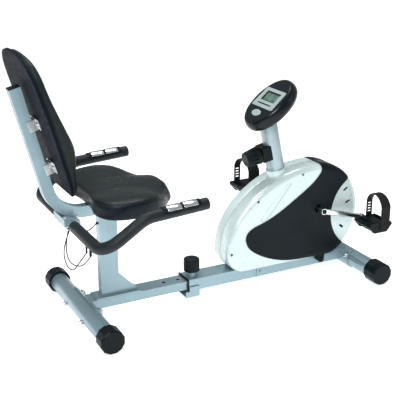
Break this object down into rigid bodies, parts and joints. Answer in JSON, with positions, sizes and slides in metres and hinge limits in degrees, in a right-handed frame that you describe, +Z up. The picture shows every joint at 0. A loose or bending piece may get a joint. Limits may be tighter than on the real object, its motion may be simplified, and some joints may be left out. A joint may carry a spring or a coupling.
{
  "type": "recumbent exercise bike",
  "caption": "Recumbent exercise bike: padded seat on a sliding rail, side grips with pulse plates, belt-driven magnetic flywheel, strapped pedals and a display console on a post.",
  "frame": {"origin": "on the floor under the middle of the bike's overall box", "axes": "+Z up, +X from the seat towards the flywheel, +Y to the rider's left"},
  "size_m": [1.2616, 0.6478, 0.8841],
  "materials": {
    "frame_paint": "satin",
    "post_paint": "satin",
    "shell_silver": "satin metallic",
    "black_plastic": "satin",
    "cover_black": "satin",
    "black_vinyl": "satin vinyl",
    "board_black": "matte",
    "foam_black": "matte foam",
    "chrome": "polished",
    "zinc_steel": "zinc plated",
    "dark_steel": "oiled",
    "cast_wheel": "machined rim",
    "belt_rubber": "matte",
    "lead_rubber": "matte",
    "bezel_silver": "satin metallic",
    "display_green": "glossy",
    "plywood": "raw"
  },
  "bodies": {
    "front_frame": {"outer_rail_tube": "frame_paint", "rail_bushing": "black_plastic", "front_stabiliser_tube": "frame_paint", "front_saddle_bolts": "zinc_steel", "front_end_caps": "black_plastic", "drive_frame": "frame_paint", "bottom_bracket_bearings": "dark_steel", "drive_belt": "belt_rubber", "housing_right": "shell_silver", "housing_left": "shell_silver", "housing_screws": "cover_black", "side_cover_right": "cover_black", "side_cover_left": "cover_black", "console_post": "post_paint", "tension_block": "black_plastic", "tension_cable": "lead_rubber", "console_back": "black_plastic", "console_front": "black_plastic", "console_bezel": "bezel_silver", "lcd_panel": "display_green"},
    "rear_section": {"inner_rail_tube": "frame_paint", "rear_stabiliser_tube": "frame_paint", "rear_saddle_bolts": "zinc_steel", "rear_end_caps": "black_plastic", "seat_post": "frame_paint", "seat_frame_tube": "frame_paint", "seat_frame_plugs": "black_plastic", "seat_pan": "plywood", "seat_cushion": "black_vinyl", "backrest_brackets": "zinc_steel", "backrest_bolts": "zinc_steel", "backrest_board": "board_black", "backrest_cushion": "black_vinyl", "handlebar_clamp": "frame_paint", "handlebar_u_bolts": "zinc_steel", "handlebar_tube": "frame_paint", "foam_grips": "foam_black", "pulse_holders": "black_plastic", "pulse_plates": "chrome", "pulse_lead_a": "lead_rubber", "pulse_lead_b": "lead_rubber", "pulse_lead_c": "lead_rubber", "pulse_lead_plugs": "black_plastic"},
    "rail_pin": {"pull_pin": "zinc_steel", "pull_pin_knob": "black_plastic", "pull_pin_spring": "dark_steel"},
    "crank_set": {"crank_axle": "dark_steel", "crank_arm_right": "chrome", "crank_arm_left": "chrome", "crank_bolts": "black_plastic", "crank_pulley": "black_plastic", "pedal_axles": "dark_steel"},
    "flywheel_set": {"flywheel": "cast_wheel"},
    "right_pedal": {"pedal_right": "black_plastic", "pedal_strap_right": "belt_rubber"},
    "left_pedal": {"pedal_left": "black_plastic", "pedal_strap_left": "belt_rubber"},
    "tension_dial": {"tension_knob": "black_plastic"},
    "magnet_arm": {"magnet_bracket": "dark_steel"},
    "mode_button": {"console_button": "bezel_silver"}
  },
  "joints": [
    {"name": "seat_slide", "type": "slide", "parent": "front_frame", "child": "rear_section", "axis": [1, 0, 0], "range_m": [-0.104, 0.104]},
    {"name": "pin_pull", "type": "slide", "parent": "front_frame", "child": "rail_pin", "axis": [0, 0, 1], "range_m": [-0.007, 0.003], "stiffness_N_per_m": 5000, "deforming": ["pull_pin_spring"]},
    {"name": "crank_spin", "type": "hinge", "parent": "front_frame", "child": "crank_set", "pos_m": [0.419, 0, 0.251], "axis": [0, 1, 0], "continuous": true},
    {"name": "flywheel_spin", "type": "hinge", "parent": "front_frame", "child": "flywheel_set", "pos_m": [0.194, 0, 0.2], "axis": [0, 1, 0], "continuous": true},
    {"name": "right_pedal_spin", "type": "hinge", "parent": "crank_set", "child": "right_pedal", "pos_m": [0.58281, -0.156, 0.20557], "axis": [0, 1, 0], "continuous": true},
    {"name": "left_pedal_spin", "type": "hinge", "parent": "crank_set", "child": "left_pedal", "pos_m": [0.25518, 0.156, 0.29643], "axis": [0, 1, 0], "continuous": true},
    {"name": "tension_turn", "type": "hinge", "parent": "front_frame", "child": "tension_dial", "pos_m": [0.26138, 0, 0.471], "axis": [-0.9766, 0, -0.2149], "range_deg": [0, 270]},
    {"name": "magnet_swing", "type": "hinge", "parent": "front_frame", "child": "magnet_arm", "pos_m": [0.11399, 0, 0.108], "axis": [0, 1, 0], "range_deg": [-2.5, 0]},
    {"name": "button_press", "type": "slide", "parent": "front_frame", "child": "mode_button", "axis": [0.6428, 0, -0.766], "range_m": [0, 0.0015], "stiffness_N_per_m": 600}
  ],
  "couplings": [
    {"joint": "flywheel_spin", "follows": "crank_spin", "ratio": 4.375},
    {"joint": "magnet_swing", "follows": "tension_turn", "ratio": -0.009259}
  ]
}
